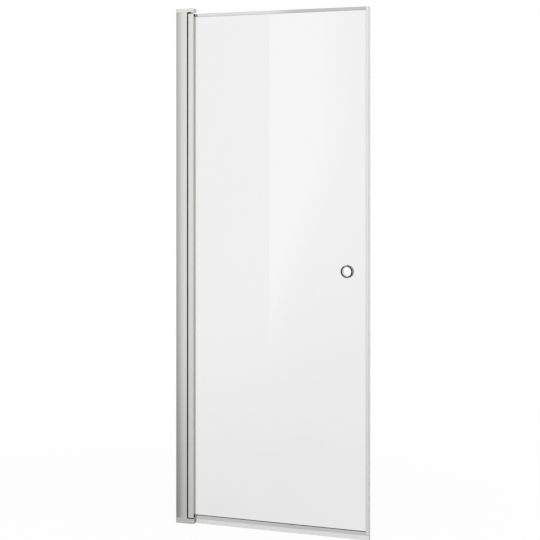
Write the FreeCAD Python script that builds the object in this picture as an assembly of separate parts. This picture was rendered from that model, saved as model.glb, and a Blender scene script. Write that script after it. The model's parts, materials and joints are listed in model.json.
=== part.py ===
import FreeCAD, Part
import math
import os

# Pivot shower door: a hinge post on the wall, and a glass leaf that turns outward
# on two pins held by brackets at the top and the bottom of the post.
# Millimetres. X runs from the wall to the closing edge, -Y points out of the
# shower, Z is up. The origin is on the wall, at the post's middle and its base.

os.makedirs("parts", exist_ok=True)

V = FreeCAD.Vector
X_AXIS = V(1, 0, 0)
Y_AXIS = V(0, 1, 0)
Z_AXIS = V(0, 0, 1)

# ------------------------------------------------------------ driving dimensions

# The door as a whole
DOOR_HEIGHT = 2000.0            # base of the bottom bracket to the top of the top one
LEAF_WIDTH = 730.5              # stile's hinge face to the closing seal's outer face
PROFILE_DEPTH = 31.0            # front to back of the post, the stile and the brackets

# Hinge post and the wall channel that it slides over
WALL_GAP = 0.5                  # post's open edges to the wall
POST_WIDTH = 46.0
POST_WALL = 1.6
POST_END_WALL = 2.4             # the wall that faces the leaf
POST_BOW = 1.8                  # crown of the front and back faces
POST_CORNER = 2.0
CHANNEL_WEB = 1.8
CHANNEL_FLANGE = 1.5
CHANNEL_REACH = 28.0            # wall to the ends of the channel's flanges
CHANNEL_PLAY = 0.3              # channel's flanges to the post's walls
WALL_HOLE = 5.5
WALL_HOLE_COUNT = 4
WALL_HOLE_PITCH = 500.0
WALL_HOLE_START = 250.0         # lowest hole above the base

# Screw ports in the post, and the screws that hold the brackets
PORT_X = 36.0                   # from the wall
PORT_Y = 8.6                    # each side of the middle
PORT_OUTER = 7.2
PORT_BORE = 4.3
PORT_SLOT = 2.0
SCREW_SHANK = 4.2
SCREW_HEAD = 8.0
SCREW_HEAD_HEIGHT = 2.4
SCREW_BITE = 16.0               # length in the port
SCREW_PLAY = 0.15               # round the shank in the bracket
RECESS_WIDTH = 1.1
RECESS_LENGTH = 4.4
RECESS_DEPTH = 1.3

# Screws that clamp the post to the wall channel, on the inside of the shower
CLAMP_COUNT = 4
CLAMP_X = 23.0
CLAMP_START = 160.0
CLAMP_SHANK = 3.9
CLAMP_HEAD = 7.4
CLAMP_HEAD_HEIGHT = 2.4
CLAMP_HEAD_SLOPE = 0.8
CLAMP_LENGTH = 9.5
CLAMP_PLAY = 0.05               # round the shank in the channel's flange
CAP_DIAMETER = 11.0
CAP_HEIGHT = 4.2
CAP_WALL = 1.2
CAP_SLOPE = 1.2

# Black seal in the post, across the pivot gap
PIVOT_GAP = 5.8                 # post to stile
SEAL_RECESS = 0.9
SEAL_MARGIN = 2.0               # edge of the recess to the post's front and back edges
SEAL_MOUTH = 5.0
SEAL_CAVITY_WIDTH = 8.4
SEAL_CAVITY_DEPTH = 2.4
SEAL_HOUSING_WALL = 1.4
SEAL_PLAY = 0.1
FIN_ROOT = 5.5                  # behind the post's middle
FIN_SWEEP = 4.0                 # how far the fin leans back
FIN_THICKNESS = 0.9
FIN_TIP_GAP = 0.3

# Brackets
BOTTOM_BRACKET_HEIGHT = 20.0
TOP_BRACKET_HEIGHT = 13.5
BRACKET_CORNER = 2.0
BRACKET_EDGE = 1.0
BRACKET_SKIN = 3.0
SPIGOT_LENGTH = 9.0
SPIGOT_WALL = 2.0
SPIGOT_PLAY = 0.4

# Pivots
BOTTOM_PIVOT_GAP = 4.0          # bottom bracket to stile
TOP_PIVOT_GAP = 7.1             # stile to top bracket
PIN_DIAMETER = 8.0
PIN_SEAT = 10.0                 # length of pin held in the bracket
PIN_ENGAGEMENT = 16.0           # length of pin inside the stile
PIN_CHAMFER = 0.8
PIN_FIT = 0.02                  # radial, in the bracket
BUSH_FIT = 0.05                 # radial, in the plug that turns on the pin
BUSH_SPARE = 2.0                # bore beyond the pin's tip
SET_SCREW = 4.0
SET_SCREW_LENGTH = 10.0
SET_SCREW_SOCKET = 2.0
SET_SCREW_SOCKET_DEPTH = 2.5
SET_SCREW_FIT = 0.05
COLLAR_DIAMETER = 14.0
COLLAR_HEIGHT = 2.0
WASHER_DIAMETER = 16.0
WASHER_BORE_PLAY = 0.2
WASHER_TOP_PLAY = 0.1
PLUG_LENGTH = 38.0
PLUG_FIT = 0.1
PLUG_SHELL = 2.0
PLUG_RIB = 1.6
PLUG_FLOOR = 4.0
EAR_HEIGHT = 11.0               # black ear that fills the notch in the stile's end
EAR_MARGIN = 1.0                # ear to the inner corners of the chamber

# Hinge stile
STILE_WIDTH = 22.1
STILE_WALL = 1.6
STILE_CORNER = 1.0
GLASS_POCKET = 15.0             # depth of the slot that takes the glass
REAR_LIP_SETBACK = 2.6          # slot's back lip behind the stile's edge

# Glass and its bedding
GLASS_THICKNESS = 6.0
GASKET = 0.85                   # rubber each side of the glass

# Trim along the top of the glass
TRIM_RISE = 1.0                 # above the top of the stile
TRIM_HEIGHT = 11.6
TRIM_WALL = 1.3
TRIM_CORNER = 1.0

# Rail along the bottom of the glass
RAIL_DROP = 1.3                 # below the top of the bottom bracket
RAIL_CLEARANCE = 0.5            # notch at the hinge end, above the bottom bracket
RAIL_HEIGHT = 12.5
RAIL_WALL = 1.3
RAIL_LIP = 1.0
RAIL_MOUTH = 4.0
RAIL_CAVITY = 2.6
RAIL_GASKET_LIP = 1.2           # black line that shows above the rail

# Sweep under the rail
SWEEP_SETBACK = 4.6             # stile to the start of the sweep and the end of the notch
SWEEP_END_PLAY = 0.6            # short of the closing seal's face
SWEEP_FLOOR_GAP = 0.5
SWEEP_CROWN = 1.3
SWEEP_CROWN_PLAY = 0.3          # rail to the sweep's crown
SWEEP_BLADE = 1.3
SWEEP_OVERHANG = 1.5            # sweep's faces beyond the rail's
SWEEP_FIT = 0.15
SWEEP_FLARE = 1.6               # how far the back blade leans in

# Closing profile and its magnetic seal
CLOSING_WIDTH = 10.1
CLOSING_DEPTH = 16.0
CLOSING_WALL = 1.2
CLOSING_POCKET = 6.4
CLOSING_CORNER = 1.2
CLOSING_SLOT_MOUTH = 4.6
CLOSING_SLOT_WIDTH = 7.0
CLOSING_SLOT_DEPTH = 1.3
END_CAP = 1.5
MAGNET_SLEEVE = 3.2
MAGNET_SLEEVE_DEPTH = 12.6
MAGNET_SLEEVE_WALL = 0.6
MAGNET_SLEEVE_CORNER = 0.8
MAGNET_PLAY = 0.1
MAGNET_FOOT_FIT = 0.1

# Ring handle
HANDLE_HEIGHT = 995.0           # base to the ring's centre
HANDLE_SETBACK = 87.3           # ring's centre to the closing seal's outer face
RING_DIAMETER = 48.0
RING_BORE = 35.0
RING_STAND = 9.0                # how far each ring stands out from the glass
RING_OUTER_EDGE = 3.0           # how far the outer edge slopes in
RING_INNER_EDGE = 2.2
RING_WASHER = 0.8
SLEEVE_WALL = 1.5
SLEEVE_GRIP = 4.5               # length of the sleeve inside the back ring
SLEEVE_FIT = 0.1
GLASS_HOLE = 42.0
GLASS_HOLE_PLAY = 0.2

# ------------------------------------------------------------ lines worked out

front = -PROFILE_DEPTH / 2
back = PROFILE_DEPTH / 2
post_x0 = WALL_GAP
post_x1 = post_x0 + POST_WIDTH
post_middle = (post_x0 + post_x1) / 2
stile_x0 = post_x1 + PIVOT_GAP
stile_x1 = stile_x0 + STILE_WIDTH
leaf_x1 = stile_x0 + LEAF_WIDTH

post_z0 = BOTTOM_BRACKET_HEIGHT
post_z1 = DOOR_HEIGHT - TOP_BRACKET_HEIGHT
stile_z0 = post_z0 + BOTTOM_PIVOT_GAP
stile_z1 = post_z1 - TOP_PIVOT_GAP
trim_z1 = stile_z1 + TRIM_RISE
trim_z0 = trim_z1 - TRIM_HEIGHT
rail_z0 = post_z0 - RAIL_DROP
rail_z1 = rail_z0 + RAIL_HEIGHT
rail_web_z0 = rail_z0 + RAIL_LIP + RAIL_CAVITY
rail_web_z1 = rail_web_z0 + RAIL_WALL

pocket_back = back - STILE_WALL
glass_back = pocket_back - GASKET
glass_front = glass_back - GLASS_THICKNESS
glass_middle = (glass_front + glass_back) / 2
pocket_front = glass_front - GASKET
pocket_half = GLASS_THICKNESS / 2 + GASKET
pocket_x0 = stile_x1 - GLASS_POCKET

chamber_x0 = stile_x0 + STILE_WALL
chamber_x1 = stile_x1 - STILE_WALL
chamber_y0 = front + STILE_WALL
chamber_y1 = pocket_front - STILE_WALL

pivot_x = (stile_x0 + stile_x1) / 2
pivot_y = (chamber_y0 + chamber_y1) / 2

closing_x1 = leaf_x1 - MAGNET_SLEEVE
closing_x0 = closing_x1 - CLOSING_WIDTH
closing_y0 = glass_middle - CLOSING_DEPTH / 2
closing_y1 = glass_middle + CLOSING_DEPTH / 2
closing_z0 = rail_z0

glass_x0 = pocket_x0 + GASKET
glass_x1 = closing_x0 + CLOSING_POCKET - GASKET
glass_z0 = rail_web_z1 + GASKET
glass_z1 = trim_z1 - TRIM_WALL - GASKET

channel_half = back - POST_BOW - POST_WALL - CHANNEL_PLAY
spigot_half = channel_half - CHANNEL_FLANGE - SPIGOT_PLAY

handle_x = leaf_x1 - HANDLE_SETBACK
sleeve_radius = RING_BORE / 2 + SLEEVE_WALL

CUT = 1.0                       # how far a cutting body runs past what it cuts
TOUCH = 0.01                    # how near a line must be to count as on the spot
SOCKET_SIDES = 6


# ------------------------------------------------------------ section helpers

def upright(a, b):
    """Point of a section whose profile runs up: a along X, b along Y."""
    return V(a, b, 0)


def lengthwise(a, b):
    """Point of a section whose profile runs along X: a along Y, b up."""
    return V(0, a, b)


def face_of(edges):
    return Part.Face(Part.Wire(edges))


def polygon(plane, points):
    corners = [plane(a, b) for a, b in points]
    return Part.Face(Part.makePolygon(corners + corners[:1]))


def rectangle(plane, a0, a1, b0, b1, radius=0.0):
    """Rectangle between two corners, with all four corners rounded."""
    if radius <= 0:
        return polygon(plane, [(a0, b0), (a1, b0), (a1, b1), (a0, b1)])
    bend = radius * (1 - math.sqrt(0.5))
    corners = [
        (plane(a0, b0 + radius), plane(a0 + bend, b0 + bend), plane(a0 + radius, b0)),
        (plane(a1 - radius, b0), plane(a1 - bend, b0 + bend), plane(a1, b0 + radius)),
        (plane(a1, b1 - radius), plane(a1 - bend, b1 - bend), plane(a1 - radius, b1)),
        (plane(a0 + radius, b1), plane(a0 + bend, b1 - bend), plane(a0, b1 - radius)),
    ]
    edges = []
    for index, (start, middle, end) in enumerate(corners):
        edges.append(Part.Arc(start, middle, end).toShape())
        following = corners[(index + 1) % len(corners)][0]
        edges.append(Part.LineSegment(end, following).toShape())
    return face_of(edges)


def disc(x, y, diameter):
    circle = Part.Circle(upright(x, y), Z_AXIS, diameter / 2)
    return face_of([circle.toShape()])


def extruded(section, start, run):
    """Extrude every patch of a section and join the patches that touch."""
    patches = [face.extrude(run) for face in section.Faces]
    solid = patches[0]
    if len(patches) > 1:
        solid = solid.multiFuse(patches[1:]).removeSplitter()
    solid.translate(start)
    return solid


def run_up(section, z0, z1):
    """Extrude a section that lies in the XY plane from z0 to z1."""
    return extruded(section, V(0, 0, z0), V(0, 0, z1 - z0))


def run_along(section, x0, x1):
    """Extrude a section that lies in the YZ plane from x0 to x1."""
    return extruded(section, V(x0, 0, 0), V(x1 - x0, 0, 0))


def rod(base, direction, diameter, length):
    return Part.makeCylinder(diameter / 2, length, base, direction)


def round_edges(solid, radius, chosen):
    edges = [edge for edge in solid.Edges if chosen(edge)]
    return solid.makeFillet(radius, edges)


def is_vertical_at(x, y):
    """Picks the upright edges that stand at one point of the plan."""
    def chosen(edge):
        start, end = edge.firstVertex().Point, edge.lastVertex().Point
        upright_edge = abs(start.z - end.z) > CUT
        return upright_edge and start.distanceToPoint(V(x, y, start.z)) < TOUCH
    return chosen


def turned(section_points, x, y, z):
    """Body turned about an upright line: points are (radius, height)."""
    corners = [V(x + r, y, z + h) for r, h in section_points]
    face = Part.Face(Part.makePolygon(corners + corners[:1]))
    return face.revolve(V(x, y, z), Z_AXIS, 360)


# ------------------------------------------------------------ wall channel and post

def wall_hole_heights():
    return [WALL_HOLE_START + step * WALL_HOLE_PITCH for step in range(WALL_HOLE_COUNT)]


def clamp_heights():
    span = DOOR_HEIGHT - 2 * CLAMP_START
    return [CLAMP_START + step * span / (CLAMP_COUNT - 1) for step in range(CLAMP_COUNT)]


def make_wall_channel():
    """Channel screwed to the wall: its flanges stop short of the two brackets."""
    web = run_up(rectangle(upright, 0, CHANNEL_WEB, -channel_half, channel_half), 0, DOOR_HEIGHT)
    inner = channel_half - CHANNEL_FLANGE
    front_flange = rectangle(upright, 0, CHANNEL_REACH, -channel_half, -inner)
    back_flange = rectangle(upright, 0, CHANNEL_REACH, inner, channel_half)
    channel = web.fuse([
        run_up(front_flange, post_z0, post_z1),
        run_up(back_flange, post_z0, post_z1),
    ]).removeSplitter()
    for height in wall_hole_heights():
        hole = rod(V(-CUT, 0, height), X_AXIS, WALL_HOLE, CHANNEL_WEB + 2 * CUT)
        channel = channel.cut(hole)
    for height in clamp_heights():
        start = V(CLAMP_X, inner - CUT, height)
        bore = rod(start, Y_AXIS, CLAMP_SHANK + 2 * CLAMP_PLAY, CHANNEL_FLANGE + 2 * CUT)
        channel = channel.cut(bore)
    return channel


def bowed_section(x0, x1, crest):
    """Section between x0 and x1 whose front and back faces bow out to the crest."""
    radius = (POST_WIDTH ** 2 / 4 + POST_BOW ** 2) / (2 * POST_BOW)

    def edge_depth(x):
        return crest - radius + math.sqrt(radius ** 2 - (x - post_middle) ** 2)

    start, end = edge_depth(x0), edge_depth(x1)
    between = (x0 + x1) / 2
    crown = edge_depth(between)
    return face_of([
        Part.Arc(upright(x0, -start), upright(between, -crown), upright(x1, -end)).toShape(),
        Part.LineSegment(upright(x1, -end), upright(x1, end)).toShape(),
        Part.Arc(upright(x1, end), upright(between, crown), upright(x0, start)).toShape(),
        Part.LineSegment(upright(x0, start), upright(x0, -start)).toShape(),
    ])


def screw_port(side):
    """Open boss for a self-tapping screw, on a rib from the front or back wall."""
    y = side * PORT_Y
    wall = side * (back - POST_WALL / 2)
    rib_y0, rib_y1 = min(y, wall), max(y, wall)
    rib = rectangle(upright, PORT_X - POST_WALL / 2, PORT_X + POST_WALL / 2, rib_y0, rib_y1)
    return disc(PORT_X, y, PORT_OUTER).fuse(rib)


def screw_port_bore(side):
    """Bore of the port with its slot, which opens toward the post's middle."""
    y = side * PORT_Y
    far = y - side * PORT_OUTER
    slot_y0, slot_y1 = min(y, far), max(y, far)
    slot = rectangle(upright, PORT_X - PORT_SLOT / 2, PORT_X + PORT_SLOT / 2, slot_y0, slot_y1)
    return disc(PORT_X, y, PORT_BORE).fuse(slot)


def make_post_profile():
    """Extruded post, open to the wall, with two screw ports and the seal's slot."""
    outer = bowed_section(post_x0, post_x1, back)
    inner_x1 = post_x1 - POST_END_WALL
    hollow = bowed_section(post_x0 - WALL_GAP, inner_x1, back - POST_WALL)
    cavity_x1 = post_x1 - SEAL_RECESS - POST_WALL / 2
    cavity_x0 = cavity_x1 - SEAL_CAVITY_DEPTH
    housing_half = SEAL_CAVITY_WIDTH / 2 + SEAL_HOUSING_WALL
    housing = rectangle(upright, cavity_x0 - SEAL_HOUSING_WALL, post_x1 - SEAL_RECESS,
                        -housing_half, housing_half)
    recess_half = back - POST_BOW - SEAL_MARGIN
    section = outer.cut(hollow).fuse([screw_port(-1), screw_port(1), housing])
    section = section.cut([
        screw_port_bore(-1),
        screw_port_bore(1),
        rectangle(upright, post_x1 - SEAL_RECESS, post_x1 + CUT, -recess_half, recess_half),
        rectangle(upright, cavity_x0, cavity_x1, -SEAL_CAVITY_WIDTH / 2, SEAL_CAVITY_WIDTH / 2),
        rectangle(upright, cavity_x0, post_x1, -SEAL_MOUTH / 2, SEAL_MOUTH / 2),
    ])
    post = run_up(section, post_z0, post_z1)
    edge = back - POST_BOW
    for side in (-1, 1):
        post = round_edges(post, POST_CORNER, is_vertical_at(post_x1, side * edge))
    for height in clamp_heights():
        start = V(CLAMP_X, channel_half - CUT, height)
        length = back - channel_half + 2 * CUT
        post = post.cut(rod(start, Y_AXIS, CLAMP_SHANK + 2 * SCREW_PLAY, length))
    return post


def make_post_seal():
    """Black strip in the post's end wall, with a fin that closes the pivot gap."""
    cavity_x1 = post_x1 - SEAL_RECESS - POST_WALL / 2
    cavity_x0 = cavity_x1 - SEAL_CAVITY_DEPTH
    foot_half = SEAL_CAVITY_WIDTH / 2 - SEAL_PLAY
    neck_half = SEAL_MOUTH / 2 - SEAL_PLAY
    cover_half = back - POST_BOW - SEAL_MARGIN - SEAL_PLAY
    cover_x0 = post_x1 - SEAL_RECESS
    tip_x = stile_x0 - FIN_TIP_GAP
    tip_y = FIN_ROOT + FIN_SWEEP
    foot = rectangle(upright, cavity_x0, cavity_x1 - SEAL_PLAY, -foot_half, foot_half)
    neck = rectangle(upright, cavity_x0, post_x1, -neck_half, neck_half)
    cover = rectangle(upright, cover_x0, post_x1, -cover_half, cover_half)
    fin = polygon(upright, [
        (cover_x0, FIN_ROOT),
        (tip_x, tip_y),
        (tip_x, tip_y + FIN_THICKNESS),
        (cover_x0, FIN_ROOT + 2 * FIN_THICKNESS),
    ])
    section = foot.fuse([neck, cover, fin])
    return run_up(section, post_z0, post_z1)


def crowned_rod(base, diameter, height, slope):
    """Short rod out of the post's back face, with a sloping rim at its far end."""
    straight = height - slope
    rim = Part.makeCone(diameter / 2, diameter / 2 - slope, slope, base + V(0, straight, 0), Y_AXIS)
    return rod(base, Y_AXIS, diameter, straight).fuse(rim)


def make_post_clamp_screws():
    """Pan-head screws through the post's back wall into the channel's flange."""
    screws = []
    for height in clamp_heights():
        head = crowned_rod(V(CLAMP_X, back, height), CLAMP_HEAD, CLAMP_HEAD_HEIGHT, CLAMP_HEAD_SLOPE)
        tip = V(CLAMP_X, back - CLAMP_LENGTH, height)
        screws.append(head.fuse(rod(tip, Y_AXIS, CLAMP_SHANK, CLAMP_LENGTH)).removeSplitter())
    return Part.makeCompound(screws)


def make_screw_caps():
    """Caps pressed over the clamp screws."""
    caps = []
    for height in clamp_heights():
        base = V(CLAMP_X, back, height)
        shell = crowned_rod(base, CAP_DIAMETER, CAP_HEIGHT, CAP_SLOPE)
        hollow = rod(base, Y_AXIS, CAP_DIAMETER - 2 * CAP_WALL, CAP_HEIGHT - CAP_WALL)
        caps.append(shell.cut(hollow))
    return Part.makeCompound(caps)


# ------------------------------------------------------------ brackets and pins
# Brackets, pins, plugs and their screws are drawn for the top of the door, with
# height 0 where the bracket meets the post. The bottom ones are mirrored.

def at_top(shape, level=post_z1):
    placed = shape.copy()
    placed.translate(V(0, 0, level))
    return placed


def at_bottom(shape, level=post_z0):
    placed = shape.mirror(V(0, 0, 0), Z_AXIS)
    placed.translate(V(0, 0, level))
    return placed


def port_centres():
    return [V(PORT_X, -PORT_Y, 0), V(PORT_X, PORT_Y, 0)]


def make_bracket(height):
    """Cast bracket: a spigot in the post's end, a cored body and the pin's seat."""
    plan = rectangle(upright, post_x0, stile_x1, front, back, BRACKET_CORNER)
    body = run_up(plan, 0, height)
    body = round_edges(body, BRACKET_EDGE, lambda edge: edge.BoundBox.ZMin > height - TOUCH)

    web_rebate = rectangle(upright, post_x0 - CUT, CHANNEL_WEB + CHANNEL_PLAY,
                           -channel_half - CHANNEL_PLAY, channel_half + CHANNEL_PLAY)
    spigot_x0 = CHANNEL_WEB + SPIGOT_PLAY + SPIGOT_WALL
    spigot_x1 = CHANNEL_REACH
    spigot = rectangle(upright, spigot_x0, spigot_x1, -spigot_half, spigot_half)
    core_half = spigot_half - SPIGOT_WALL
    core = rectangle(upright, spigot_x0 + SPIGOT_WALL, spigot_x1 - SPIGOT_WALL, -core_half, core_half)
    rib = rectangle(upright, spigot_x0, spigot_x1, -SPIGOT_WALL / 2, SPIGOT_WALL / 2)
    pocket_depth = height - BRACKET_SKIN

    bracket = body.cut(run_up(web_rebate, -CUT, height + CUT))
    bracket = bracket.fuse(run_up(spigot, -SPIGOT_LENGTH, 0))
    hollow = run_up(core.cut(rib), -SPIGOT_LENGTH - CUT, pocket_depth)
    bracket = bracket.cut(hollow)

    cuts = [rod(V(pivot_x, pivot_y, 0), Z_AXIS, PIN_DIAMETER + 2 * PIN_FIT, PIN_SEAT)]
    bore = SCREW_SHANK + 2 * SCREW_PLAY
    head = SCREW_HEAD + 2 * SCREW_PLAY
    for centre in port_centres():
        cuts.append(rod(centre, Z_AXIS, bore, height))
        cuts.append(Part.makeCone(bore / 2, head / 2, SCREW_HEAD_HEIGHT,
                                  centre + V(0, 0, height - SCREW_HEAD_HEIGHT), Z_AXIS))
    set_screw_start = V(pivot_x, pivot_y, set_screw_level())
    cuts.append(rod(set_screw_start, Y_AXIS, SET_SCREW + 2 * SET_SCREW_FIT, back - pivot_y))
    return bracket.cut(cuts).removeSplitter()


def set_screw_level():
    return PIN_SEAT / 2


def make_bracket_screws(height):
    """Countersunk screws through the bracket into the post's screw ports."""
    neck = height - SCREW_HEAD_HEIGHT
    screws = []
    for centre in port_centres():
        screw = turned([
            (0, -SCREW_BITE),
            (SCREW_SHANK / 4, -SCREW_BITE),
            (SCREW_SHANK / 2, -SCREW_BITE + SCREW_SHANK / 2),
            (SCREW_SHANK / 2, neck),
            (SCREW_HEAD / 2, height),
            (0, height),
        ], centre.x, centre.y, 0)
        for long_x, long_y in ((RECESS_LENGTH, RECESS_WIDTH), (RECESS_WIDTH, RECESS_LENGTH)):
            corner = centre + V(-long_x / 2, -long_y / 2, height - RECESS_DEPTH)
            screw = screw.cut(Part.makeBox(long_x, long_y, RECESS_DEPTH + CUT, corner))
        screws.append(screw)
    return Part.makeCompound(screws)


def make_pivot_pin(gap):
    """Steel pin, chamfered at both ends, from its seat down into the stile."""
    tip = -gap - PIN_ENGAGEMENT
    radius = PIN_DIAMETER / 2
    return turned([
        (0, tip),
        (radius - PIN_CHAMFER, tip),
        (radius, tip + PIN_CHAMFER),
        (radius, PIN_SEAT - PIN_CHAMFER),
        (radius - PIN_CHAMFER, PIN_SEAT),
        (0, PIN_SEAT),
    ], pivot_x, pivot_y, 0)


def make_set_screw():
    """Grub screw that holds the pin, from the bracket's back face."""
    level = set_screw_level()
    start = V(pivot_x, pivot_y + PIN_DIAMETER / 2, level)
    screw = rod(start, Y_AXIS, SET_SCREW, SET_SCREW_LENGTH)
    socket_start = start + V(0, SET_SCREW_LENGTH - SET_SCREW_SOCKET_DEPTH, 0)
    reach = SET_SCREW_SOCKET / 2 / math.cos(math.pi / SOCKET_SIDES)
    corners = []
    for step in range(SOCKET_SIDES):
        angle = step * 2 * math.pi / SOCKET_SIDES
        corners.append(socket_start + V(reach * math.cos(angle), 0, reach * math.sin(angle)))
    hexagon = Part.Face(Part.makePolygon(corners + corners[:1]))
    return screw.cut(hexagon.extrude(V(0, SET_SCREW_SOCKET_DEPTH + CUT, 0)))


def make_thrust_washer():
    """Slippery washer on the bottom pin, which carries the leaf's weight."""
    thickness = BOTTOM_PIVOT_GAP - COLLAR_HEIGHT - WASHER_TOP_PLAY
    base = V(pivot_x, pivot_y, post_z0)
    washer = rod(base, Z_AXIS, WASHER_DIAMETER, thickness)
    return washer.cut(rod(base, Z_AXIS, PIN_DIAMETER + 2 * WASHER_BORE_PLAY, thickness))


# ------------------------------------------------------------ hinge stile and its plugs

def make_stile_profile():
    """Extruded stile: a closed chamber in front and the glass slot behind it."""
    outer = rectangle(upright, stile_x0, stile_x1, front, back, STILE_CORNER)
    chamber = rectangle(upright, chamber_x0, chamber_x1, chamber_y0, chamber_y1, STILE_CORNER)
    slot = rectangle(upright, pocket_x0, stile_x1 + CUT, pocket_front, pocket_back)
    relief = rectangle(upright, chamber_x0, pocket_x0 - STILE_WALL, pocket_front, pocket_back)
    rear_lip_x1 = stile_x1 - REAR_LIP_SETBACK
    behind_lip = rectangle(upright, rear_lip_x1, stile_x1 + CUT, pocket_front, back + CUT)
    section = outer.cut([chamber, slot, relief, behind_lip])
    stile = run_up(section, stile_z0, stile_z1)
    stile = round_edges(stile, STILE_CORNER, is_vertical_at(rear_lip_x1, back))
    notch = rectangle(upright, chamber_x1 - CUT, stile_x1 + CUT,
                      chamber_y0 + EAR_MARGIN, chamber_y1 - EAR_MARGIN)
    return stile.cut([
        run_up(notch, stile_z0 - CUT, stile_z0 + EAR_HEIGHT),
        run_up(notch, stile_z1 - EAR_HEIGHT, stile_z1 + CUT),
    ])


def make_bush_plug():
    """Moulded plug in the stile's end: ribbed inside, bored for the pin, with an ear
    that locks in the notch. Height 0 is the stile's end."""
    x0, x1 = chamber_x0 + PLUG_FIT, chamber_x1 - PLUG_FIT
    y0, y1 = chamber_y0 + PLUG_FIT, chamber_y1 - PLUG_FIT
    body = run_up(rectangle(upright, x0, x1, y0, y1, STILE_CORNER), -PLUG_LENGTH, 0)
    hollow = rectangle(upright, x0 + PLUG_SHELL, x1 - PLUG_SHELL, y0 + PLUG_SHELL, y1 - PLUG_SHELL)
    ribs = [
        rectangle(upright, pivot_x - PLUG_RIB / 2, pivot_x + PLUG_RIB / 2, y0, y1),
        rectangle(upright, x0, x1, pivot_y - PLUG_RIB / 2, pivot_y + PLUG_RIB / 2),
        disc(pivot_x, pivot_y, COLLAR_DIAMETER),
    ]
    body = body.cut(run_up(hollow.cut(ribs), -PLUG_LENGTH - CUT, -PLUG_FLOOR))
    collar = rod(V(pivot_x, pivot_y, -CUT), Z_AXIS, COLLAR_DIAMETER, COLLAR_HEIGHT + CUT)
    ear_y0 = chamber_y0 + EAR_MARGIN + PLUG_FIT
    ear_y1 = chamber_y1 - EAR_MARGIN - PLUG_FIT
    ear = rectangle(upright, x1 - PLUG_SHELL, stile_x1 - PLUG_FIT, ear_y0, ear_y1)
    plug = body.fuse([collar, run_up(ear, -EAR_HEIGHT + PLUG_FIT, 0)])
    depth = PIN_ENGAGEMENT + BUSH_SPARE
    bore = rod(V(pivot_x, pivot_y, -depth), Z_AXIS, PIN_DIAMETER + 2 * BUSH_FIT,
               depth + COLLAR_HEIGHT)
    return plug.cut(bore).removeSplitter()


# ------------------------------------------------------------ glass and its frame

def make_glass_panel():
    """Flat toughened sheet with the handle's hole."""
    sheet = Part.makeBox(glass_x1 - glass_x0, GLASS_THICKNESS, glass_z1 - glass_z0,
                         V(glass_x0, glass_front, glass_z0))
    start = V(handle_x, glass_front - CUT, HANDLE_HEIGHT)
    return sheet.cut(rod(start, Y_AXIS, GLASS_HOLE, GLASS_THICKNESS + 2 * CUT))


def make_stile_gasket():
    """Bedding that grips the glass in the stile's slot."""
    liner = rectangle(upright, pocket_x0, stile_x1 - GASKET, pocket_front, pocket_back)
    glass = rectangle(upright, glass_x0, stile_x1 + CUT, glass_front, glass_back)
    behind_lip = rectangle(upright, stile_x1 - REAR_LIP_SETBACK - GASKET, stile_x1 + CUT,
                           glass_back, back)
    return run_up(liner.cut([glass, behind_lip]), stile_z0, stile_z1)


def make_top_trim():
    """Channel capped over the glass's top edge, between the stile and closing profile."""
    half = pocket_half + TRIM_WALL
    outer = rectangle(lengthwise, glass_middle - half, glass_middle + half, trim_z0, trim_z1)
    slot = rectangle(lengthwise, glass_middle - pocket_half, glass_middle + pocket_half,
                     trim_z0 - CUT, trim_z1 - TRIM_WALL)
    trim = run_along(outer.cut(slot), stile_x1, closing_x0)
    top_edges = [edge for edge in trim.Edges
                 if edge.BoundBox.ZMin > trim_z1 - TOUCH and edge.BoundBox.XLength > CUT]
    return trim.makeFillet(TRIM_CORNER, top_edges)


def make_top_trim_gasket():
    """Bedding that grips the glass in the top trim."""
    liner = rectangle(lengthwise, glass_middle - pocket_half, glass_middle + pocket_half,
                      trim_z0 + GASKET, trim_z1 - TRIM_WALL)
    glass = rectangle(lengthwise, glass_front, glass_back, trim_z0 - CUT, glass_z1)
    return run_along(liner.cut(glass), stile_x1, closing_x0)


def make_bottom_rail():
    """Rail with the glass slot above its web and the sweep's slot below it."""
    half = pocket_half + RAIL_WALL
    outer = rectangle(lengthwise, glass_middle - half, glass_middle + half, rail_z0, rail_z1)
    slot = rectangle(lengthwise, glass_middle - pocket_half, glass_middle + pocket_half,
                     rail_web_z1, rail_z1 + CUT)
    cavity = rectangle(lengthwise, glass_middle - pocket_half, glass_middle + pocket_half,
                       rail_z0 + RAIL_LIP, rail_web_z0)
    mouth = rectangle(lengthwise, glass_middle - RAIL_MOUTH / 2, glass_middle + RAIL_MOUTH / 2,
                      rail_z0 - CUT, rail_web_z0)
    rail = run_along(outer.cut([slot, cavity, mouth]), stile_x1, closing_x0)
    notch = rectangle(lengthwise, glass_middle - half - CUT, glass_middle + half + CUT,
                      rail_z0 - CUT, post_z0 + RAIL_CLEARANCE)
    return rail.cut(run_along(notch, stile_x1 - CUT, stile_x1 + SWEEP_SETBACK))


def make_rail_gasket():
    """Black gasket round the glass's bottom edge, with lips that rest on the rail."""
    lip_half = pocket_half + RAIL_WALL / 2
    liner = rectangle(lengthwise, glass_middle - pocket_half, glass_middle + pocket_half,
                      rail_web_z1, rail_z1)
    lips = rectangle(lengthwise, glass_middle - lip_half, glass_middle + lip_half,
                     rail_z1, rail_z1 + RAIL_GASKET_LIP)
    glass = rectangle(lengthwise, glass_front, glass_back, glass_z0, rail_z1 + RAIL_GASKET_LIP + CUT)
    section = liner.fuse(lips).cut(glass)
    return run_along(section, stile_x1, closing_x0)


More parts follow.
